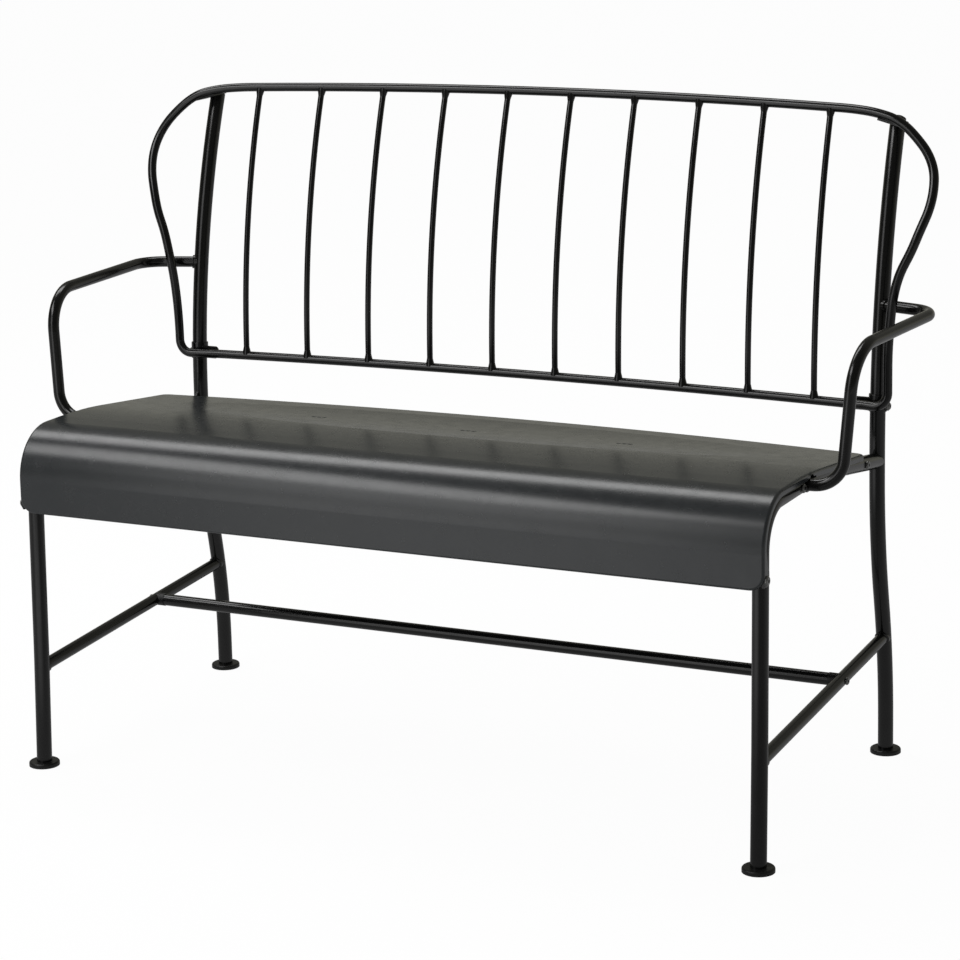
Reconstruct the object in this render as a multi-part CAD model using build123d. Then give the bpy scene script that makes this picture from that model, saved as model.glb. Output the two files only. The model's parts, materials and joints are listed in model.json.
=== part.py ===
from build123d import *
import os
from math import acos, asin, atan, cos, degrees, sin, sqrt, tan

# Two-seat patio bench: bent tube legs, a folded sheet seat and a rod-framed back.
# Millimetres. X runs along the seat, Y from front to back, Z up from the floor.
# The pieces are made with Y = 0 on the line of the front feet, and moved at the end
# so that the origin is on the floor below the middle of the whole bench.

# Plan of the legs
leg_span = 1000.0           # between the left and right leg centre lines
foot_depth = 466.0          # between the front and rear foot centres

# Round stock
leg_d = 20.0
leg_wall = 1.5
arm_d = 15.0
arm_wall = 1.5
stretcher_d = 16.0
stretcher_wall = 1.5
rod_d = 12.0                # solid rod of the back frame
spindle_d = 8.0             # solid rods inside the back frame

# Clearances and overruns
weld_gap = 0.1              # between a coped tube end and the tube it meets
slide_gap = 0.2             # round a piece that slides into a tube
hole_gap = 0.3              # round a screw in its hole
overrun = 5.0               # how far a cutter runs past what it cuts
parallel_limit = 1e-9       # below this two headings count as the same
surface_limit = 1e-3        # below this a point counts as on the seat's face

# Front leg, in side view
knee_y = 5.9                # the leg leans back a little more below the knee
knee_z = 150.0
knee_r = 2500.0
leg_top_y = 12.3            # where the leg line meets the line of the side rail
front_bend_r = 52.0
rail_z = 434.0              # level part of the side rail
front_joint_y = 116.5       # seam between the leg tube and the rail tube

# Side rail and rear stub, in side view
rail_slope = 0.154          # fall of the rail behind its bend
rail_bend_share = 0.38      # where the bend's corner is, between the two seams
rail_arc_share = 0.95       # how much of the run in front of that corner the bend takes up
rear_joint_set = 78.0       # from the back post forwards to the seam of rail and stub
seam_gap = 0.4
seam_edge = 0.8             # bevel on the stub's end
spigot_reach = 22.0         # how far a spigot runs into the tube on each side
spigot_wall = 2.0

# Rear leg and back post, one bent tube
rear_bend_z = 43.0          # the tube is upright below this height
rear_set = 38.5             # how far the S-bend carries the tube forwards
rear_bend_r = 750.0
back_bend_z = 412.0         # the post leans back above this height
back_bend_r = 1150.0
post_top_z = 827.0

# Feet
foot_d = 40.0
foot_h = 6.0
foot_edge_r = 2.4
foot_plug_h = 22.0

# Post caps
cap_dome_h = 4.0
cap_lip_h = 1.5
cap_plug_h = 14.0

# Stretchers
side_stretcher_front_z = 132.4
side_stretcher_rear_z = 158.9
cross_stretcher_set = 138.5 # from the back post forwards to the cross stretcher
saddle_l = 7.0              # plastic saddle between the cross and side stretchers
saddle_wall = 0.6           # how far the saddle stands out past the cross stretcher
saddle_plug_l = 25.0

# Armrest
arm_post_z = 598.5
arm_corner_out = 78.5       # outwards from the post to the rear corner
arm_corner_set = 9.5        # from the back post forwards to the rear corner
arm_corner_r = 38.0
arm_front_out = 62.5        # outwards from the leg line to the front corner
arm_front_y = 158.5
arm_front_z = 599.5
arm_front_r = 55.0
arm_foot_out = 49.5         # outwards from the leg line to the lower corner
arm_foot_y = 150.5
arm_foot_r = 36.0
arm_end_y = 145.5           # where the armrest meets the side rail

# Seat, one folded sheet
sheet = 1.2
rim_gap = 0.4               # between the side rail and the turned-down rim
rim_h = 8.0
fold_r = 3.5                # outer radius of the fold between face and rim
skirt_y = -8.5
skirt_z = 342.0
roll_r = 64.5
seat_top_z = 450.0
crest_y = 139.0             # the seat slopes down behind this line
crest_r = 900.0
seat_slope = 0.11
seat_rear_set = 25.5        # from the back post forwards to the middle of the rear edge
seat_rear_bow_r = 2500.0
seat_corner_r = 14.0
skirt_corner_r = 20.0
arm_notch_l = 30.0
arm_notch_y = 152.5
arm_arch_r = 9.5            # arch in the rim above the armrest
arm_arch_rise = 4.0

# Shallow oval hollow pressed into the seat
dish_half_x = 435.0
dish_half_y = 95.0
dish_depth = 3.0
dish_lift = 2.0             # how far the pressing tool stands above the seat's face
dish_set = 131.5            # from the rear edge forwards to the hollow's middle
drain_d = 4.0
drain_pitch = 8.0
drain_group_pitch = 220.0
drain_set = 136.0           # from the rear edge forwards to the holes
drain_steps = (-1, 0, 1)     # three groups of three holes

# Seat fixings on the side rails
seat_pad_d = 13.0
seat_stud_d = 5.0
seat_nut_d = 9.0
seat_nut_h = 4.0
access_d = 12.0             # hole below each nut, for the driver
seat_stud_front_y = 172.0
seat_stud_rear_set = 49.5   # from the rear seam forwards to the stud

# Skirt fixings on the front legs
ear_r = 7.5                 # rounded ear of the rim that takes the screw
ear_z = 354.0
ear_y = 0.0
ear_top_z = 392.0           # the rim widens into the ear below this height
tab_t = 3.0
tab_h = 16.0
tab_gap = 0.2

# Back frame
frame_top_set = 78.0        # from the back post rearwards to the middle of the top rail
frame_top_z = 847.3
top_bow_r = 3950.0
top_bow_lean = 0.228        # fall of the top rail per unit of its bow
top_rail_end_x = 430.0
frame_low_set = 9.2         # from the back post rearwards to the middle of the bottom rail
frame_low_z = 474.2
low_bow_r = 5030.0
low_rail_end_x = 470.0
ear_reach = 68.0            # how far the rounded ends stand out past the posts
ear_depth = 46.5            # how far they stand in front of the posts
low_corner_r = 18.5
spindle_count = 10
spindle_pitch = 92.85

# Welds
bead = 1.8                  # how far a bead stands out from the tube that ends
bead_spread = 2.4           # how far it runs up that tube
flare_r = 6.3               # weld flare at the ends of a spindle
flare_l = 11.5
flare_set = 2.5             # from the rail's centre to the flare's wide end
flare_tuck = 0.3            # how far the flare's thin end is inside the spindle
lug_t = 2.5                 # small gusset above the rail stub
lug_h = 7.0
lug_l = 6.0

# Rounded end of the back frame: out from the leg line, in front of the post line and up
# from the bottom rail, as shares of the reach, the depth and the height of the frame.
ear_shares = [
    (-0.04, 0.80, 0.967),
    (0.44, 0.80, 0.921),
    (0.90, 0.78, 0.822),
    (1.00, 0.89, 0.712),
    (0.78, 1.00, 0.570),
    (0.47, 0.96, 0.426),
    (0.32, 0.67, 0.243),
]
ear_foot_out = 19.5         # outwards from the leg line to the straight foot of the end
ear_foot_set = 18.5         # from the back post forwards to that foot

# Clamps that hold the back frame to the posts
collar_wall = 1.7
collar_edge_r = 0.7
low_collar_z = 464.0
low_collar_h = 22.5
clamp_bolt_z = 471.5
tongue_t = 3.0
tongue_h = 17.0
tongue_top_z = 482.8
tongue_tip_x = 466.0
tongue_corner_r = 5.0
fork_t = 3.0                # forked plate between the end rod and the post's top
fork_l = 31.0
fork_z = 828.7              # top of the plate on the leg line
fork_tilt = 15.0            # degrees, along the rod's own fall
fork_front = 3.0            # how far the plate reaches in front of the rod's centre
fork_reach = 6.0            # how far it reaches back along the post's sides

# Screws and bolts
screw_d = 6.0
screw_head_d = 11.0
screw_head_h = 2.6
screw_l = 13.0
hex_sides = 6
hex_size = 4.0
hex_depth = 1.8
bolt_head_d = 10.0
clamp_head_d = 12.0
clamp_head_h = 5.0
skirt_head_d = 12.0
joint_screw_set = 10.0      # from a tube seam to the screw behind it

# Worked out from the sizes above
leg_x = leg_span / 2
leg_r = leg_d / 2
leg_bore_r = leg_r - leg_wall
post_y = foot_depth - rear_set
rear_joint_y = post_y - rear_joint_set
rail_bend_y = front_joint_y + (rear_joint_y - front_joint_y) * rail_bend_share
rail_bend_r = (rail_bend_y - front_joint_y) * rail_arc_share / tan(atan(rail_slope) / 2)
rear_joint_z = rail_z - rail_slope * (rear_joint_y - rail_bend_y)
cross_stretcher_y = post_y - cross_stretcher_set
arm_corner_y = post_y - arm_corner_set
seat_rear_y = post_y - seat_rear_set
seat_stud_rear_y = rear_joint_y - seat_stud_rear_set
drain_y = seat_rear_y - drain_set
dish_y = seat_rear_y - dish_set
frame_mid_y = post_y + frame_top_set
frame_low_y = post_y + frame_low_set
ear_foot_y = post_y - ear_foot_set
seat_half = leg_x + leg_r + rim_gap + sheet
frame_h = frame_top_z - frame_low_z
right_side = Plane.YZ.offset(leg_x)


def rod(path, diameter):
    """Solid round bar along a path."""
    start = Plane(origin=path @ 0, z_dir=path % 0)
    return sweep(start * Circle(diameter / 2), path=path)


def tube(path, diameter, wall):
    """Round tube along a path, open at both ends."""
    start = Plane(origin=path @ 0, z_dir=path % 0)
    ring = Circle(diameter / 2) - Circle(diameter / 2 - wall)
    return sweep(start * ring, path=path)


def pin(start, end, diameter):
    """Straight solid bar between two points."""
    return rod(Line(start, end), diameter)


def left_of(piece):
    """The left-hand twin of a right-hand piece."""
    return mirror(piece, about=Plane.YZ)


def pair(piece):
    """A right-hand piece and its left-hand twin as one group."""
    return Compound(piece.solids() + left_of(piece).solids())


def rail_height(y):
    """Height of the side rail's sloping centre line."""
    return rear_joint_z + rail_slope * (rear_joint_y - y)


def post_line(z):
    """Y of the back post's centre line where it leans back."""
    rise = z - back_bend_z
    return post_y + back_bend_r - sqrt(back_bend_r**2 - rise**2)


def socket_screw(start, heading, length, head_d, head_h):
    """Button-head screw: start is on the seat under the head, heading points out of the head."""
    seat = Plane(origin=start, z_dir=heading)
    head = Cylinder(head_d / 2, head_h, align=(Align.CENTER, Align.CENTER, Align.MIN))
    head = chamfer(head.edges().group_by(Axis.Z)[-1], head_h / 2)
    shank = Pos(0, 0, -length) * Cylinder(screw_d / 2, length, align=(Align.CENTER, Align.CENTER, Align.MIN))
    socket = extrude(RegularPolygon(hex_size / 2, hex_sides, major_radius=False), hex_depth)
    socket = Pos(0, 0, head_h - hex_depth) * socket
    return seat * (head + shank - socket)


# Paths on the right-hand side
front_leg_path = right_side * FilletPolyline(
    (0, 0), (knee_y, knee_z), (leg_top_y, rail_z), (front_joint_y, rail_z),
    radius=[knee_r, front_bend_r],
)
rail_path = right_side * FilletPolyline(
    (front_joint_y + seam_gap, rail_z), (rail_bend_y, rail_z), (rear_joint_y, rear_joint_z),
    radius=rail_bend_r,
)
rail_line_path = right_side * FilletPolyline(
    (front_joint_y + seam_gap, rail_z), (rail_bend_y, rail_z), (post_y, rail_height(post_y)),
    radius=rail_bend_r,
)
stub_start = (rear_joint_y + seam_gap, rail_height(rear_joint_y + seam_gap))
stub_path = right_side * Line(stub_start, (post_y, rail_height(post_y)))


def rear_leg_route():
    """Upright foot, S-bend, upright run and leaning post."""
    turn = degrees(acos(1 - rear_set / (2 * rear_bend_r)))
    lean = degrees(asin((post_top_z - back_bend_z) / back_bend_r))
    foot_run = Line((foot_depth, 0), (foot_depth, rear_bend_z))
    forward = JernArc(foot_run @ 1, foot_run % 1, rear_bend_r, turn)
    upright = JernArc(forward @ 1, forward % 1, rear_bend_r, -turn)
    post_run = Line(upright @ 1, (post_y, back_bend_z))
    post_arc = JernArc(post_run @ 1, post_run % 1, back_bend_r, -lean)
    return right_side * Wire([foot_run, forward, upright, post_run, post_arc])


rear_leg_path = rear_leg_route()
post_top = Plane(origin=rear_leg_path @ 1, z_dir=rear_leg_path % 1)


def stretcher_y(z, rear):
    """Centre of the front or rear leg at a stretcher's height."""
    if rear:
        rise = z - rear_bend_z
        return foot_depth - rear_bend_r + sqrt(rear_bend_r**2 - rise**2)
    return knee_y * z / knee_z


stretcher_path = right_side * Line(
    (stretcher_y(side_stretcher_front_z, False), side_stretcher_front_z),
    (stretcher_y(side_stretcher_rear_z, True), side_stretcher_rear_z),
)
stretcher_run = (stretcher_path @ 1) - (stretcher_path @ 0)
cross_share = (cross_stretcher_y - (stretcher_path @ 0).Y) / stretcher_run.Y
cross_end = (stretcher_path @ 0) + stretcher_run * cross_share

arm_path = FilletPolyline(
    (leg_x, post_line(arm_post_z), arm_post_z),
    (leg_x + arm_corner_out, arm_corner_y, arm_post_z),
    (leg_x + arm_front_out, arm_front_y, arm_front_z),
    (leg_x + arm_foot_out, arm_foot_y, rail_z),
    (leg_x, arm_end_y, rail_z),
    radius=[arm_corner_r, arm_front_r, arm_foot_r],
)

# Envelopes that coped ends are cut to
front_leg_space = rod(front_leg_path, leg_d + 2 * weld_gap)
rear_leg_space = rod(rear_leg_path, leg_d + 2 * weld_gap)
rail_space = rod(rail_path, leg_d + 2 * weld_gap)
rail_line_space = rod(rail_line_path, leg_d + rim_gap)
stretcher_space = rod(stretcher_path, stretcher_d + 2 * weld_gap)
front_leg_reach = rod(front_leg_path, leg_d + 2 * bead_spread)
rear_leg_reach = rod(rear_leg_path, leg_d + 2 * bead_spread)
rail_reach = rod(rail_path, leg_d + 2 * bead_spread)


def beads(path, diameter, wall, reaches):
    """Weld beads round a tube where it comes near the tubes that it is welded to."""
    sleeve = tube(path, diameter + 2 * bead, bead + wall / 2)
    rings = Part()
    for reach in reaches:
        rings += sleeve & reach
    return rings


def joint_screw_place(seam_y, z_at):
    """Outer face of the rail at the screw behind a seam."""
    y = seam_y + joint_screw_set
    return Vector(leg_x + leg_r, y, z_at(y))


rail_screws = [
    joint_screw_place(front_joint_y, lambda y: rail_z),
    joint_screw_place(rear_joint_y, rail_height),
]


def screw_hole(place):
    """Hole along X for a screw whose head bears at a place."""
    return pin(place + Vector(overrun, 0, 0), place - Vector(screw_l + overrun, 0, 0), screw_d + 2 * hole_gap)


# Front legs
def front_leg():
    return split(tube(front_leg_path, leg_d, leg_wall), bisect_by=Plane.XY.offset(foot_h), keep=Keep.TOP)


# Side rails
def side_rail():
    rail = tube(rail_path, leg_d, leg_wall)
    rail -= screw_hole(rail_screws[0])
    for y, z in seat_stud_places():
        rail -= pin((leg_x, y, z), (leg_x, y, z + leg_d), seat_stud_d + 2 * hole_gap)
        rail -= pin((leg_x, y, z - leg_d), (leg_x, y, z), access_d)
    return rail


def rail_centre(y):
    """Centre height of the rail, bend included."""
    half_turn = atan(rail_slope) / 2
    reach = rail_bend_r * tan(half_turn)
    start = rail_bend_y - reach
    end = rail_bend_y + reach * cos(2 * half_turn)
    if y < start:
        return rail_z
    if y < end:
        return rail_z - rail_bend_r + sqrt(rail_bend_r**2 - (y - start)**2)
    return rail_height(y)


def seat_stud_places():
    """Where the seat's studs cross the rail's centre line."""
    return [(y, rail_centre(y)) for y in (seat_stud_front_y, seat_stud_rear_y)]


# Rear legs with back posts
def rear_leg():
    leg = split(tube(rear_leg_path, leg_d, leg_wall), bisect_by=Plane.XY.offset(foot_h), keep=Keep.TOP)
    return leg - clamp_bolt_hole()


def rear_stub():
    """Short tube welded to the post, with a small gusset above it."""
    stub = tube(stub_path, leg_d, leg_wall)
    rim = stub.edges().filter_by(GeomType.CIRCLE).group_by(Axis.Y)[0].sort_by(SortBy.RADIUS)[-1]
    stub = chamfer(rim, seam_edge)
    face_y = post_y - leg_r
    low_z = rail_height(face_y) + leg_r - leg_wall
    high_z = low_z + lug_h
    edge = [(face_y - lug_l, low_z), (post_y, low_z), (post_y, high_z), (face_y, high_z)]
    face = Plane.YZ.offset(leg_x - lug_t / 2) * make_face(Polyline(*edge, close=True))
    stub += extrude(face, lug_t)
    return stub - rear_leg_space - screw_hole(rail_screws[1])


# Spigots inside the tube seams
def spigot(seam, heading, screw):
    start = seam - heading * spigot_reach
    end = seam + heading * spigot_reach
    liner = tube(Line(start, end), 2 * (leg_bore_r - slide_gap), spigot_wall)
    return liner - screw_hole(screw)


def rail_spigots():
    front = spigot(Vector(leg_x, front_joint_y, rail_z), Vector(0, 1, 0), rail_screws[0])
    rear_heading = Vector(0, 1, -rail_slope).normalized()
    rear = spigot(Vector(leg_x, rear_joint_y, rear_joint_z), rear_heading, rail_screws[1])
    return pair(front + rear)


def rail_joint_screws():
    screws = Part()
    for place in rail_screws:
        screws += socket_screw(place, (1, 0, 0), screw_l, screw_head_d, screw_head_h)
    return pair(screws)


# Feet: a rounded disc with a plug up the leg
def foot(path):
    base = path.position_at(0)
    heading = path.tangent_at(0)
    disc = Cylinder(foot_d / 2, foot_h, align=(Align.CENTER, Align.CENTER, Align.MIN))
    disc = fillet(disc.edges().group_by(Axis.Z)[-1], foot_edge_r)
    plug = Plane(origin=base, z_dir=heading) * Cylinder(
        leg_bore_r - slide_gap, foot_plug_h, align=(Align.CENTER, Align.CENTER, Align.MIN))
    plug = split(plug, bisect_by=Plane.XY, keep=Keep.TOP)
    return Pos(base.X, base.Y, 0) * disc + plug


# Caps on the back posts
def post_cap():
    dome_r = (leg_r**2 + cap_dome_h**2) / (2 * cap_dome_h)
    dome = Pos(0, 0, cap_lip_h + cap_dome_h - dome_r) * Sphere(dome_r)
    dome = split(dome, bisect_by=Plane.XY.offset(cap_lip_h), keep=Keep.TOP)
    lip = Cylinder(leg_r, cap_lip_h, align=(Align.CENTER, Align.CENTER, Align.MIN))
    plug = Pos(0, 0, -cap_plug_h) * Cylinder(
        leg_bore_r - slide_gap, cap_plug_h, align=(Align.CENTER, Align.CENTER, Align.MIN))
    return post_top * (dome + lip + plug)


# Stretchers
def side_stretcher():
    bar = tube(stretcher_path, stretcher_d, stretcher_wall)
    bar += beads(stretcher_path, stretcher_d, stretcher_wall, [front_leg_reach, rear_leg_reach])
    bar -= front_leg_space
    bar -= rear_leg_space
    inner = cross_end - Vector(stretcher_d, 0, 0)
    outer = cross_end + Vector(stretcher_d, 0, 0)
    return bar - pin(inner, outer, screw_d + 2 * hole_gap)


saddle_end_x = leg_x - stretcher_d / 2 - saddle_l


def cross_stretcher():
    left = Vector(-saddle_end_x, cross_end.Y, cross_end.Z)
    right = Vector(saddle_end_x, cross_end.Y, cross_end.Z)
    return tube(Line(left, right), stretcher_d, stretcher_wall)


def stretcher_saddle():
    """Plastic end piece: a collar coped to the side stretcher and a plug in the tube."""
    shoulder = Vector(saddle_end_x, cross_end.Y, cross_end.Z)
    collar = pin(shoulder, cross_end, stretcher_d + 2 * saddle_wall) - stretcher_space
    bore_r = stretcher_d / 2 - stretcher_wall
    plug = pin(shoulder - Vector(saddle_plug_l, 0, 0), shoulder, 2 * (bore_r - slide_gap))
    drill = pin(shoulder - Vector(saddle_plug_l - overrun, 0, 0), cross_end, screw_d)
    return collar + plug - drill


def stretcher_bolt():
    seat = cross_end + Vector(stretcher_d / 2, 0, 0)
    reach = stretcher_d + saddle_l + saddle_plug_l / 2
    return socket_screw(seat, (1, 0, 0), reach, bolt_head_d, screw_head_h)


# Armrests
def armrest():
    arm = tube(arm_path, arm_d, arm_wall)
    arm += beads(arm_path, arm_d, arm_wall, [rear_leg_reach, rail_reach])
    return arm - rear_leg_space - rail_space


# Seat panel
def seat_line(inset):
    """Side view of the sheet's face, set in from the upper face."""
    face_y = skirt_y + inset
    top_z = seat_top_z - inset
    low_z = skirt_z - overrun
    crest = crest_y - inset * tan(atan(seat_slope) / 2)
    far_y = seat_rear_y + overrun
    far_z = top_z - seat_slope * (far_y - crest)
    return FilletPolyline(
        (face_y, low_z), (face_y, top_z), (crest, top_z), (far_y, far_z),
        radius=[roll_r - inset, crest_r - inset],
    )


def bent_slab(inset, depth):
    """Slab between two faces of the seat's side view, as wide as the seat."""
    upper = seat_line(inset)
    lower = seat_line(depth)
    ends = [Line(upper @ 0, lower @ 0), Line(upper @ 1, lower @ 1)]
    side = make_face(upper.edges() + lower.edges() + ends)
    return extrude(Plane.YZ * side, seat_half - inset, both=True)


def fold_edges(blank, inset):
    """Edges round the bent upper face: those that only one of its faces has."""
    line = Plane.YZ * seat_line(inset)
    upper = []
    for face in blank.faces():
        middle = face.center()
        if line.distance_to(Vector(0, middle.Y, middle.Z)) < surface_limit:
            upper += face.edges()
    return [edge for edge in blank.edges() if sum(edge.is_same(other) for other in upper) == 1]


def dish_tool(drop):
    """Lens that makes the shallow oval hollow, lowered square to the seat's slope."""
    height = dish_depth + dish_lift
    cross_r = (dish_half_y**2 + dish_depth**2) / (2 * dish_depth)
    long_r = (dish_half_x**2 + dish_depth**2) / (2 * dish_depth)
    half_chord = sqrt(cross_r**2 - (cross_r - height)**2)
    bowl = ThreePointArc((-half_chord, dish_lift), (0, -dish_depth), (half_chord, dish_lift))
    section = Plane.YZ * make_face([bowl, Line(bowl @ 1, bowl @ 0)])
    axis = Axis((0, 0, long_r - dish_depth), (0, 1, 0))
    turn = 2 * degrees(acos(1 - height / long_r))
    tool = revolve(section, axis, turn).rotate(axis, -turn / 2)
    place = Pos(0, dish_y, seat_top_z - seat_slope * (dish_y - crest_y))
    return place * Rot(-degrees(atan(seat_slope)), 0, 0) * Pos(0, 0, -drop) * tool


def seat_blank(inset, depth):
    """Bent slab with the plan and front outlines of the panel and a rounded fold."""
    half = seat_half - inset
    rear_y = seat_rear_y - inset
    sag = seat_rear_bow_r - sqrt(seat_rear_bow_r**2 - half**2)
    front_y = skirt_y - overrun
    plan = make_face([
        Line((-half, rear_y - sag), (-half, front_y)),
        Line((-half, front_y), (half, front_y)),
        Line((half, front_y), (half, rear_y - sag)),
        ThreePointArc((half, rear_y - sag), (0, rear_y), (-half, rear_y - sag)),
    ])
    plan = fillet(plan.vertices().group_by(Axis.Y)[-1], seat_corner_r - inset)
    plan_block = extrude(Pos(0, 0, skirt_z - overrun) * plan, seat_top_z - skirt_z + 2 * overrun)

    foot_z = skirt_z + inset
    front = Pos(0, foot_z, 0) * Rectangle(
        2 * half, seat_top_z - skirt_z + overrun, align=(Align.CENTER, Align.MIN))
    front = fillet(front.vertices().group_by(Axis.Y)[0], skirt_corner_r - inset)
    front_block = extrude(Plane.XZ.offset(overrun - skirt_y) * front, -(seat_rear_y - skirt_y + 2 * overrun))
    blank = bent_slab(inset, depth) & plan_block & front_block
    return fillet(fold_edges(blank, inset), fold_r - inset)


def skirt_screw_hole(start_x):
    """Hole for the skirt screw, from a place inside the panel out past its side."""
    return pin((start_x, ear_y, ear_z), (seat_half + overrun, ear_y, ear_z), screw_d + 2 * hole_gap)


def screw_ear():
    """Rounded ear that the side rim widens into, in front of the leg."""
    fold_y = skirt_y + fold_r
    edge = [(fold_y, ear_top_z), (fold_y, ear_z), (ear_y + ear_r, ear_z), (skirt_y + rim_h, ear_top_z)]
    outline = Pos(ear_y, ear_z) * Circle(ear_r) + make_face(Polyline(*edge, close=True))
    ear = extrude(Plane.YZ.offset(seat_half - sheet) * outline, sheet)
    return split(ear, bisect_by=Plane.XZ.offset(-fold_y), keep=Keep.BOTTOM)


def arm_notch():
    """Notch in the rim where the armrest passes, with an arch above it."""
    notch_z = rail_z + arm_d / 2
    inner = Vector(seat_half - sheet - overrun / 2, arm_notch_y, notch_z + arm_arch_rise - arm_arch_r)
    outer = Vector(seat_half + overrun / 2, inner.Y, inner.Z)
    slot = Box(outer.X - inner.X, arm_notch_l, arm_d, align=(Align.MIN, Align.CENTER, Align.MAX))
    return pin(inner, outer, 2 * arm_arch_r) + Pos(inner.X, arm_notch_y, notch_z) * slot


def seat_panel():
    """Folded sheet with its hollow, ears, notches and drain holes."""
    upper = seat_blank(0, rim_h) - dish_tool(0)
    lower = seat_blank(sheet, rim_h + overrun) - dish_tool(sheet)
    ear = screw_ear()
    panel = upper - lower + ear + left_of(ear)
    for cut in (skirt_screw_hole(leg_x), arm_notch(), rail_line_space):
        panel -= cut
        panel -= left_of(cut)
    for group in drain_steps:
        for step in drain_steps:
            x = group * drain_group_pitch + step * drain_pitch
            panel -= Pos(x, drain_y, 0) * Cylinder(
                drain_d / 2, seat_top_z, align=(Align.CENTER, Align.CENTER, Align.MIN))
    return panel


def seat_underside(y):
    """Height of the sheet's lower face on the sloping part."""
    return seat_top_z - sheet * sqrt(1 + seat_slope**2) - seat_slope * (y - crest_y)


def seat_fixings():
    """Pads on the rails, studs under the sheet and nuts inside the rails."""
    pads = Part()
    studs = Part()
    nuts = Part()
    sheet_space = bent_slab(0, sheet)
    rail_bar = rod(rail_path, leg_d)
    rail_bore = rod(rail_path, 2 * (leg_bore_r - weld_gap))
    for y, z in seat_stud_places():
        top = Vector(leg_x, y, seat_underside(y))
        centre = Vector(leg_x, y, z)
        pad = pin(centre, top, seat_pad_d) - rail_bar - sheet_space
        pads += pad - pin(centre, top, seat_stud_d + 2 * hole_gap)
        nut_low = centre + Vector(0, 0, leg_bore_r - leg_wall - seat_nut_h)
        studs += pin(nut_low, top, seat_stud_d) - sheet_space
        nuts += (pin(nut_low, top, seat_nut_d) & rail_bore) - pin(nut_low, top, seat_stud_d)
    return pads, studs, nuts


# Skirt fixings
def skirt_tab():
    """Small plate on the front leg that takes the skirt screw, cut clear of the rim."""
    outer_x = seat_half - sheet - tab_gap
    front_y = ear_y - tab_h / 2 + tab_t
    plate = Box(tab_t, leg_top_y - front_y, tab_h, align=(Align.MAX, Align.MIN, Align.CENTER))
    plate = Pos(outer_x, front_y, ear_z) * plate
    rim_space = seat_blank(-tab_gap, rim_h + tab_gap) - seat_blank(sheet + tab_gap, rim_h + overrun)
    hole = pin((outer_x - tab_t - overrun, ear_y, ear_z), (outer_x + overrun, ear_y, ear_z), screw_d)
    return plate - front_leg_space - rim_space - hole


def skirt_screw():
    seat = Vector(seat_half, ear_y, ear_z)
    return socket_screw(seat, (1, 0, 0), sheet + tab_gap + tab_t, skirt_head_d, screw_head_h)


# Back frame
def bow_point(x, mid_y, mid_z, radius, lean):
    """Point of a rail that bows forwards from its middle, in a plane that leans."""
    sag = radius - sqrt(radius**2 - x**2)
    tilt = atan(lean)
    return Vector(x, mid_y - sag * cos(tilt), mid_z - sag * sin(tilt))


def top_point(x):
    return bow_point(x, frame_mid_y, frame_top_z, top_bow_r, top_bow_lean)


def low_point(x):
    return bow_point(x, frame_low_y, frame_low_z, low_bow_r, 0)


top_rail_path = ThreePointArc(top_point(-top_rail_end_x), top_point(0), top_point(top_rail_end_x))
low_rail_path = ThreePointArc(low_point(-low_rail_end_x), low_point(0), low_point(low_rail_end_x))


def biarc(start, start_dir, end, end_dir):
    """Two arcs from one point and direction to another, tangent where they meet."""
    span = end - start
    total = start_dir + end_dir
    spread = 2 * (1 - start_dir.dot(end_dir))
    along = span.dot(total)
    if spread < parallel_limit:
        reach = span.dot(span) / (2 * along)
    else:
        reach = (sqrt(along**2 + spread * span.dot(span)) - along) / spread
    middle = (start + end) * 0.5 + (start_dir - end_dir) * (reach / 2)
    middle_dir = (span - total * reach).normalized()
    return [
        TangentArc(start, middle, tangent=start_dir),
        TangentArc(middle, end, tangent=middle_dir),
    ]


def ear_point(shares):
    """Point of the rounded end, from its shares of the reach, the depth and the height."""
    out_share, depth_share, height_share = shares
    z = frame_low_z + frame_h * height_share
    return Vector(leg_x + ear_reach * out_share, post_line(z) - ear_depth * depth_share, z)


def side_rod_path():
    """The rounded end of the back frame, from the top rail down to the bottom rail."""
    points = [top_point(top_rail_end_x)] + [ear_point(shares) for shares in ear_shares]
    foot_top = Vector(leg_x + ear_foot_out, ear_foot_y, frame_low_z + low_corner_r)
    corner = Vector(leg_x + ear_foot_out - low_corner_r, ear_foot_y, frame_low_z)
    low_end = low_point(low_rail_end_x)
    points += [foot_top, corner, low_end]
    headings = [top_rail_path % 1]
    for before, after in zip(points[:-4], points[2:-2]):
        headings.append((after - before).normalized())
    headings += [Vector(0, 0, -1), (low_end - corner).normalized(), (low_rail_path % 1) * -1]
    edges = []
    for i in range(len(points) - 1):
        edges += biarc(points[i], headings[i], points[i + 1], headings[i + 1])
    return Wire(edges)


side_path = side_rod_path()
top_rail_space = rod(top_rail_path, rod_d + 2 * weld_gap)
low_rail_space = rod(low_rail_path, rod_d + 2 * weld_gap)
side_rod_space = rod(side_path, rod_d + 2 * weld_gap)


def flare(place, heading):
    """Weld flare at a spindle's end, wide at the rail."""
    start = Plane(origin=place + heading * flare_set, z_dir=heading)
    cone = Cone(flare_r, spindle_d / 2 - flare_tuck, flare_l, align=(Align.CENTER, Align.CENTER, Align.MIN))
    return start * cone


def spindle(x):
    """Upright rod, bent in one arc between the two rails, with a weld flare at each end."""
    path = TangentArc(low_point(x), top_point(x), tangent=(0, 0, 1))
    bar = rod(path, spindle_d) + flare(path @ 0, path % 0) + flare(path @ 1, (path % 1) * -1)
    return bar - top_rail_space - low_rail_space


# Clamps on the posts
def clamp_bolt_place():
    """Outer face of the lower collar at its bolt."""
    return Vector(leg_x + leg_r + collar_wall, post_line(clamp_bolt_z), clamp_bolt_z)


def clamp_bolt_hole():
    place = clamp_bolt_place()
    return pin(place + Vector(overrun, 0, 0), Vector(leg_x, place.Y, place.Z), screw_d + 2 * hole_gap)


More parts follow.
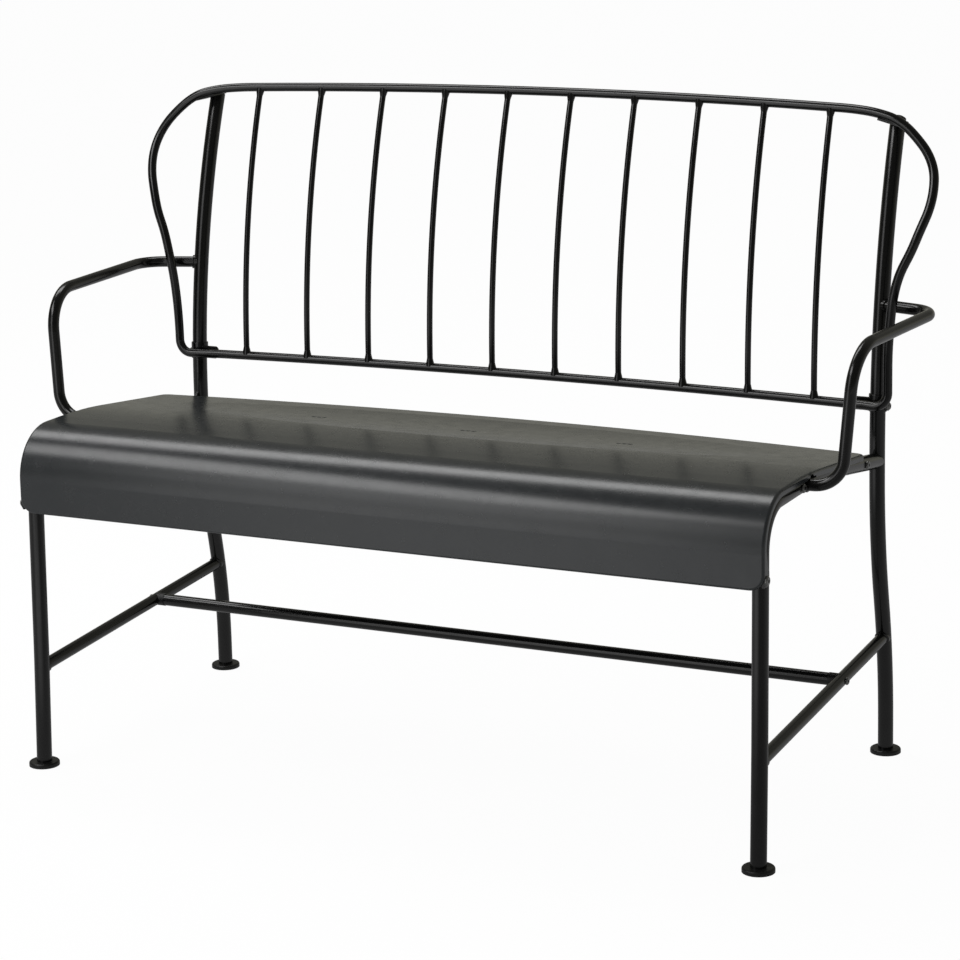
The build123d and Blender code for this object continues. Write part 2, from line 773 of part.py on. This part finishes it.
def collar(low_z, height):
    """Ring round the post with rounded edges, square to the post's own line."""
    low = Vector(leg_x, post_line(low_z), low_z)
    high = Vector(leg_x, post_line(low_z + height), low_z + height)
    ring = Cylinder(leg_r + collar_wall, height)
    ring = fillet(ring.edges().filter_by(GeomType.CIRCLE), collar_edge_r)
    return Plane(origin=(low + high) / 2, z_dir=high - low) * ring - rear_leg_space


def lower_clamp():
    """Collar on the post with a tongue behind the bottom rail, rounded at its tip."""
    face_y = low_point(tongue_tip_x).Y + rod_d / 2 + weld_gap
    face = Rectangle(leg_x - tongue_tip_x, tongue_h, align=(Align.MIN, Align.MAX))
    face = fillet(face.vertices().group_by(Axis.X)[0], tongue_corner_r)
    tongue = extrude(Plane.XZ.offset(-face_y) * Pos(tongue_tip_x, tongue_top_z) * face, -tongue_t)
    tongue = tongue - rear_leg_space - low_rail_space - side_rod_space
    return collar(low_collar_z, low_collar_h) + tongue - clamp_bolt_hole()


def clamp_bolt():
    place = clamp_bolt_place()
    return socket_screw(place, (1, 0, 0), collar_wall + leg_r, clamp_head_d, clamp_head_h)


def upper_bracket():
    """Plate under the end rod, forked round the post's top and cut clear of the cap."""
    rear_y = post_line(fork_z) - leg_r + fork_reach
    depth = rear_y - ear_point(ear_shares[0]).Y + fork_front
    plate = Box(fork_l, depth, fork_t, align=(Align.CENTER, Align.MAX, Align.MAX))
    plate = Pos(leg_x, rear_y, fork_z) * Rot(0, fork_tilt, 0) * plate
    cap_space = post_top * Cylinder(
        leg_r + weld_gap, cap_lip_h + cap_dome_h + overrun, align=(Align.CENTER, Align.CENTER, Align.MIN))
    return plate - side_rod_space - rear_leg_space - cap_space


# All the pieces by name
pads, studs, nuts = seat_fixings()
right_hand = {
    "front_leg": front_leg(),
    "side_rail": side_rail(),
    "rear_leg": rear_leg(),
    "rear_stub": rear_stub(),
    "side_stretcher": side_stretcher(),
    "armrest": armrest(),
    "front_foot": foot(front_leg_path),
    "rear_foot": foot(rear_leg_path),
    "post_cap": post_cap(),
    "stretcher_saddle": stretcher_saddle(),
    "skirt_tab": skirt_tab(),
    "back_side_rod": rod(side_path, rod_d),
    "lower_clamp": lower_clamp(),
    "upper_bracket": upper_bracket(),
}
pieces = {
    "seat_panel": seat_panel(),
    "cross_stretcher": cross_stretcher(),
    "back_top_rail": rod(top_rail_path, rod_d),
    "back_bottom_rail": rod(low_rail_path, rod_d),
    "rail_spigots": rail_spigots(),
    "rail_joint_screws": rail_joint_screws(),
    "stretcher_bolts": pair(stretcher_bolt()),
    "skirt_screws": pair(skirt_screw()),
    "clamp_bolts": pair(clamp_bolt()),
    "seat_pads": pair(pads),
    "seat_studs": pair(studs),
    "seat_nuts": pair(nuts),
}
for name, piece in right_hand.items():
    pieces[name + "_right"] = piece
    pieces[name + "_left"] = left_of(piece)
for i in range(spindle_count):
    place = (i - (spindle_count - 1) / 2) * spindle_pitch
    pieces[f"spindle_{i + 1:02d}"] = spindle(place)

# Origin on the floor below the middle of the whole bench
whole = Compound([solid for piece in pieces.values() for solid in piece.solids()])
middle_y = whole.bounding_box().center().Y

os.makedirs("parts", exist_ok=True)
for name, piece in pieces.items():
    export_step(Pos(0, -middle_y, 0) * piece, f"parts/{name}.step")
print(len(pieces), "nodes, middle at", round(middle_y, 2))
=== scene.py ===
import json
import math

import bpy
from mathutils import Matrix, Vector

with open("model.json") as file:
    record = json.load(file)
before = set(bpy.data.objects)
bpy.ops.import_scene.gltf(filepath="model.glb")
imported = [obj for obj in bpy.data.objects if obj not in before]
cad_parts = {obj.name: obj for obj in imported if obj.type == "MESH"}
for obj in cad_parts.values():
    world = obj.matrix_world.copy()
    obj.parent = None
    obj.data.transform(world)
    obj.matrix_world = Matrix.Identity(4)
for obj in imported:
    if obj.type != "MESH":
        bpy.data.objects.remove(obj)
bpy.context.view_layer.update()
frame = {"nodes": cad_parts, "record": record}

# Camera at the photograph's viewing angle: radians, metres, lens and sensor in millimetres, and the
# shift in shares of the picture's width
YAW = 0.451818
PITCH = 0.194998
ROLL = -0.0206167
EYE = Vector((1.7146, -3.42813, 1.3098))
LENS = 114.39
SENSOR = 36.0
SHIFT = (-0.0160, -0.143885)
NEAREST = 0.1
FURTHEST = 100.0

# Drain holes of the seat: three groups of three, in metres
HOLE_Y = 0.01857
HOLE_PITCH = 0.008
HOLE_GROUP_PITCH = 0.22
RIM_INNER = 0.0030
RIM_OUTER = 0.0037

# Noise of the coats: scales in repeats per metre, and the middle part of the noise that is spread
NOISE_LOW = 0.3
NOISE_HIGH = 0.7
CLOUD_NOISE = dict(scale=14.0, detail=3.0)
GLOSS_NOISE = dict(scale=60.0, detail=4.0, rough=0.6)
PEEL_DETAIL = 1.0
GRAIN_DETAIL = 2.0

# Finish of each slot: colours of the dark and light clouds, least and most roughness, and for the
# orange peel and the grain the repeats per metre and the depth in metres
FINISHES = {
    "tube_coat": dict(
        dark=(0.0016, 0.0016, 0.0015),
        light=(0.0032, 0.0032, 0.0030),
        rough=(0.15, 0.22),
        peel=(420.0, 0.000012),
        grain=(2600.0, 0.000003),
    ),
    "rod_coat": dict(
        dark=(0.0014, 0.0014, 0.0014),
        light=(0.0030, 0.0030, 0.0029),
        rough=(0.14, 0.21),
        peel=(420.0, 0.000010),
        grain=(2600.0, 0.000003),
    ),
    "seat_coat": dict(
        dark=(0.0145, 0.0165, 0.0180),
        light=(0.0180, 0.0200, 0.0215),
        rough=(0.23, 0.28),
        peel=(500.0, 0.000010),
        grain=(2600.0, 0.000005),
        specular=0.6,
        holes=True,
    ),
    "black_screw": dict(
        dark=(0.130, 0.130, 0.126),
        light=(0.200, 0.200, 0.194),
        rough=(0.16, 0.26),
        peel=(900.0, 0.000006),
        grain=(4000.0, 0.000003),
        specular=0.6,
        metallic=0.8,
    ),
    "plain_steel": dict(
        dark=(0.30, 0.30, 0.30),
        light=(0.42, 0.42, 0.41),
        rough=(0.30, 0.45),
        peel=(900.0, 0.000020),
        grain=(4000.0, 0.000006),
        metallic=1.0,
    ),
    "black_plastic": dict(
        dark=(0.0030, 0.0030, 0.0030),
        light=(0.0060, 0.0060, 0.0060),
        rough=(0.34, 0.50),
        peel=(500.0, 0.000020),
        grain=(2600.0, 0.000010),
        specular=0.4,
    ),
}

WHITE = (1.0, 1.0, 1.0, 1.0)

# Floor: half its side and how far it lies below the feet, its colour to light and to glossy rays,
# where the dark one for glossy rays is painted shade, and how much of it is plain white to the
# camera, where the rest keeps the shadow
FLOOR_HALF = 12.0
FLOOR_DROP = 0.0004
FLOOR_COLOUR = (0.9, 0.9, 0.9, 1.0)
FLOOR_PAINTED_SHADE = (0.12, 0.12, 0.12, 1.0)
FLOOR_WHITE = 0.96

# How much of the white floor shows in gloss, a painted glow that no lamp gives: little round a
# place near the camera, a painted shade, and more beyond, and all of it in a painted pool of light
# at
# the front left. Reach: distances at which a fade starts and ends
NEAR_PLACE = (0.9, -1.8, 0.0)
NEAR_REACH = (1.0, 2.3)
NEAR_GLOSS = 0.10
FAR_GLOSS = 0.34
PATCH_PLACE = (-0.25, -1.35, 0.0)
PATCH_REACH = (0.25, 0.95)
PATCH_GLOSS = 1.0

# Room: even light on the object. In gloss it is dim, brighter at the horizon than overhead and
# brighter behind the bench than in front, with a little of the white. Fades: parts of a direction
SOFT_COLOUR = (0.99, 1.0, 1.0, 1.0)
SOFT_STRENGTH = 0.55
DIM_COLOUR = (1.0, 0.98, 0.80, 1.0)
HORIZON_STRENGTH = 0.36
OVERHEAD_STRENGTH = 0.15
HEIGHT_FADE = (0.03, 0.26)
FRONT_SHARE = 0.2
REAR_SHARE = 1.0
DEPTH_FADE = (-0.2, 0.6)
ROOM_GLOSS = 0.06

# Lamps: a long box over the left rear, which faces down, and three at the front left, high, low and
# between, which face a point of the bench
LAMPS = (
    dict(name="rear_box", place=(-1.35, 0.56, 2.85), size=(2.3, 0.95), radiance=4.6,
         turn=math.radians(15.0)),
    dict(name="front_box", place=(-1.45, -1.65, 2.44), size=(1.9, 0.9), radiance=4.3,
         aim=(0.0, -0.2, 0.45)),
    dict(name="low_box", place=(-0.85, -2.10, 0.55), size=(1.1, 1.1), radiance=1.1,
         aim=(0.0, -0.2, 0.55)),
    dict(name="mid_box", place=(-0.95, -2.10, 1.45), size=(1.2, 0.7), radiance=1.5,
         aim=(0.0, -0.2, 0.90)),
)


def make_camera():
    """Camera that looks along yaw and pitch, turned by the roll."""
    level_reach = math.cos(PITCH)
    ahead = Vector((-math.sin(YAW) * level_reach, math.cos(YAW) * level_reach, -math.sin(PITCH)))
    level = Vector((math.cos(YAW), math.sin(YAW), 0.0))
    above = level.cross(ahead)
    right = level * math.cos(ROLL) + above * math.sin(ROLL)
    up = above * math.cos(ROLL) - level * math.sin(ROLL)
    data = bpy.data.cameras.new("camera")
    data.sensor_width = SENSOR
    data.lens = LENS
    data.shift_x, data.shift_y = SHIFT
    data.clip_start = NEAREST
    data.clip_end = FURTHEST
    camera = bpy.data.objects.new("camera", data)
    turn = Matrix((right, up, -ahead)).transposed().to_4x4()
    camera.matrix_world = Matrix.Translation(EYE) @ turn
    bpy.context.scene.collection.objects.link(camera)
    bpy.context.scene.camera = camera


def new_node(tree, kind, inputs, **settings):
    """Node with its settings, and with each input set to a value or linked to a socket."""
    node = tree.nodes.new(kind)
    for name, value in settings.items():
        setattr(node, name, value)
    for name, value in inputs.items():
        if isinstance(value, bpy.types.NodeSocket):
            tree.links.new(value, node.inputs[name])
        else:
            node.inputs[name].default_value = value
    return node


def new_material(name):
    """Node material with nothing in it yet."""
    material = bpy.data.materials.new(name)
    material.use_nodes = True
    material.node_tree.nodes.clear()
    return material, material.node_tree


def math_node(tree, operation, first, second):
    """Math node on two sockets or numbers."""
    return new_node(tree, "ShaderNodeMath", {0: first, 1: second}, operation=operation).outputs[0]


def object_place(tree):
    """Coordinates of the shaded point in the object's own frame, in metres."""
    return new_node(tree, "ShaderNodeTexCoord", {}).outputs["Object"]


def split_place(tree, place):
    """The X, Y and Z of a place or a direction."""
    return new_node(tree, "ShaderNodeSeparateXYZ", {0: place}).outputs


def noise(tree, place, scale, detail, rough=0.5):
    """Noise at a scale in repeats per metre."""
    inputs = {"Vector": place, "Scale": scale, "Detail": detail, "Roughness": rough}
    return new_node(tree, "ShaderNodeTexNoise", inputs).outputs["Fac"]


def map_range(tree, value, old, new, kind="LINEAR"):
    """Maps a value from the old range to the new one, and holds it at their ends."""
    inputs = {"Value": value, "From Min": old[0], "From Max": old[1]}
    inputs.update({"To Min": new[0], "To Max": new[1]})
    node = new_node(tree, "ShaderNodeMapRange", inputs, interpolation_type=kind)
    return node.outputs["Result"]


def spread(tree, value, new):
    """Spreads the middle part of a noise over a range."""
    return map_range(tree, value, (NOISE_LOW, NOISE_HIGH), new)


def fade(tree, value, old, new):
    """Smooth change over the new range as the value goes through the old one."""
    return map_range(tree, value, old, new, "SMOOTHSTEP")


def blend_colours(tree, factor, first, second):
    """Colour between two colours."""
    inputs = {"A": (*first, 1.0), "B": (*second, 1.0), "Factor": factor}
    return new_node(tree, "ShaderNodeMix", inputs, data_type="RGBA").outputs["Result"]


def mix_shaders(tree, factor, first, second):
    """Shader between two shader nodes."""
    inputs = {0: factor, 1: first.outputs[0], 2: second.outputs[0]}
    return new_node(tree, "ShaderNodeMixShader", inputs)


def from_nearest(tree, value, pitch):
    """Distance from the nearest of three marks that lie a pitch apart, the middle one at 0."""
    step = math_node(tree, "ROUND", math_node(tree, "DIVIDE", value, pitch), 0.0)
    step = math_node(tree, "MINIMUM", math_node(tree, "MAXIMUM", step, -1.0), 1.0)
    return math_node(tree, "SUBTRACT", value, math_node(tree, "MULTIPLY", step, pitch))


def hole_rims(tree, place):
    """1 in the seat's drain holes and on their dull punched rims, 0 elsewhere."""
    split = split_place(tree, place)
    in_group = from_nearest(tree, split["X"], HOLE_GROUP_PITCH)
    offset = new_node(tree, "ShaderNodeCombineXYZ", {
        "X": from_nearest(tree, in_group, HOLE_PITCH),
        "Y": math_node(tree, "SUBTRACT", split["Y"], HOLE_Y),
    })
    reach = new_node(tree, "ShaderNodeVectorMath", {0: offset.outputs[0]}, operation="LENGTH")
    return fade(tree, reach.outputs["Value"], (RIM_INNER, RIM_OUTER), (1.0, 0.0))


def coat(name, dark, light, rough, peel, grain, specular=0.5, metallic=0.0, holes=False):
    """Powder coat, plating or plastic: cloudy colour, uneven gloss, orange peel and fine grain."""
    material, tree = new_material(name)
    place = object_place(tree)
    clouds = spread(tree, noise(tree, place, **CLOUD_NOISE), (0.0, 1.0))
    gloss = spread(tree, noise(tree, place, **GLOSS_NOISE), rough)
    if holes:
        gloss = math_node(tree, "MAXIMUM", gloss, hole_rims(tree, place))
    surface = {}
    for (scale, depth), detail in ((peel, PEEL_DETAIL), (grain, GRAIN_DETAIL)):
        height = noise(tree, place, scale, detail)
        bump = new_node(tree, "ShaderNodeBump",
                        {"Strength": 1.0, "Distance": depth, "Height": height, **surface})
        surface = {"Normal": bump.outputs["Normal"]}
    shader = new_node(tree, "ShaderNodeBsdfPrincipled", {
        "Base Color": blend_colours(tree, clouds, dark, light),
        "Roughness": gloss,
        "Specular IOR Level": specular,
        "Metallic": metallic,
        **surface,
    })
    new_node(tree, "ShaderNodeOutputMaterial", {"Surface": shader.outputs["BSDF"]})
    return material


def dress_nodes():
    """Makes one material for each slot of the record, and gives every piece the one of its slot."""
    materials = {slot: coat(slot, **finish) for slot, finish in FINISHES.items()}
    for entry in frame["record"]["subparts"]:
        piece = frame["nodes"][entry["node"]]
        material = materials[entry["material_slot"]]
        if not piece.data.materials:
            piece.data.materials.append(material)
        for holder in piece.material_slots:
            holder.material = material


def seen_ray(tree, gloss_share):
    """1 for camera and transmission rays, a share for glossy rays, 0 for the light on the object.
    Beside it, whether the ray is a glossy one."""
    rays = new_node(tree, "ShaderNodeLightPath", {}).outputs
    gloss = math_node(tree, "MULTIPLY", rays["Is Glossy Ray"], gloss_share)
    total = math_node(tree, "ADD", rays["Is Camera Ray"], gloss)
    total = math_node(tree, "ADD", total, rays["Is Transmission Ray"])
    return math_node(tree, "MINIMUM", total, 1.0), rays["Is Glossy Ray"]


def distance_from(tree, place, point):
    """Distance of a place from a point."""
    node = new_node(tree, "ShaderNodeVectorMath", {0: place, 1: point}, operation="DISTANCE")
    return node.outputs["Value"]


def painted_floor_glow(tree):
    """Brightness of the floor in reflections: a painted glow, dim near the camera and with a
    painted pool of light at the front left.
    """
    place = object_place(tree)
    plain = fade(tree, distance_from(tree, place, NEAR_PLACE), NEAR_REACH, (NEAR_GLOSS, FAR_GLOSS))
    patch = fade(tree, distance_from(tree, place, PATCH_PLACE), PATCH_REACH, (PATCH_GLOSS, 0.0))
    return math_node(tree, "ADD", plain, patch)


def make_floor():
    """Plain pale floor that keeps the bench's shadow, with painted shade and a painted glow that
    only reflections see.
    """
    sides = ((-1, -1), (1, -1), (1, 1), (-1, 1))
    corners = [(x * FLOOR_HALF, y * FLOOR_HALF, 0.0) for x, y in sides]
    mesh = bpy.data.meshes.new("floor")
    mesh.from_pydata(corners, [], [(0, 1, 2, 3)])
    floor = bpy.data.objects.new("floor", mesh)
    floor.location.z = -FLOOR_DROP
    bpy.context.scene.collection.objects.link(floor)
    material, tree = new_material("floor")
    pale = new_node(tree, "ShaderNodeBsdfDiffuse", {"Color": FLOOR_COLOUR})
    dark = new_node(tree, "ShaderNodeBsdfDiffuse", {"Color": FLOOR_PAINTED_SHADE})
    white = new_node(tree, "ShaderNodeEmission", {"Color": WHITE, "Strength": 1.0})
    # Painted light: glossy rays see the floor glow white by its place on the floor, where no lamp
    # is
    seen, gloss = seen_ray(tree, painted_floor_glow(tree))
    # Painted shade: glossy rays see a dark copy of the floor, other rays the pale one
    lit = mix_shaders(tree, gloss, pale, dark)
    mix = mix_shaders(tree, math_node(tree, "MULTIPLY", seen, FLOOR_WHITE), lit, white)
    new_node(tree, "ShaderNodeOutputMaterial", {"Surface": mix.outputs[0]})
    floor.data.materials.append(material)


def make_world():
    """Soft studio room: even light on the object, dim in gloss, white where the camera sees it."""
    world = bpy.data.worlds.new("studio")
    bpy.context.scene.world = world
    world.use_nodes = True
    tree = world.node_tree
    tree.nodes.clear()
    direction = new_node(tree, "ShaderNodeTexCoord", {}).outputs["Generated"]
    split = split_place(tree, direction)
    height = fade(tree, split["Z"], HEIGHT_FADE, (HORIZON_STRENGTH, OVERHEAD_STRENGTH))
    depth = fade(tree, split["Y"], DEPTH_FADE, (FRONT_SHARE, REAR_SHARE))
    glow = math_node(tree, "MULTIPLY", height, depth)
    soft = new_node(tree, "ShaderNodeBackground", {"Color": SOFT_COLOUR, "Strength": SOFT_STRENGTH})
    dim = new_node(tree, "ShaderNodeBackground", {"Color": DIM_COLOUR, "Strength": glow})
    white = new_node(tree, "ShaderNodeBackground", {"Color": WHITE, "Strength": 1.0})
    seen, gloss = seen_ray(tree, ROOM_GLOSS)
    mix = mix_shaders(tree, seen, mix_shaders(tree, gloss, soft, dim), white)
    new_node(tree, "ShaderNodeOutputWorld", {"Surface": mix.outputs[0]})


def softbox(name, place, size, radiance, aim=None, turn=0.0):
    """Rectangular lamp of a given brightness, aimed at a point, or straight down with a turn."""
    width, height = size
    data = bpy.data.lights.new(name, "AREA")
    data.shape = "RECTANGLE"
    data.size, data.size_y = size
    data.energy = radiance * math.pi * width * height
    lamp = bpy.data.objects.new(name, data)
    lamp.location = place
    if aim:
        lamp.rotation_euler = (Vector(aim) - Vector(place)).to_track_quat("-Z", "Y").to_euler()
    else:
        lamp.rotation_euler.z = turn
    lamp.visible_camera = False
    bpy.context.scene.collection.objects.link(lamp)


make_camera()
dress_nodes()
make_floor()
make_world()
for lamp_settings in LAMPS:
    softbox(**lamp_settings)
bpy.context.scene.view_settings.view_transform = "Standard"
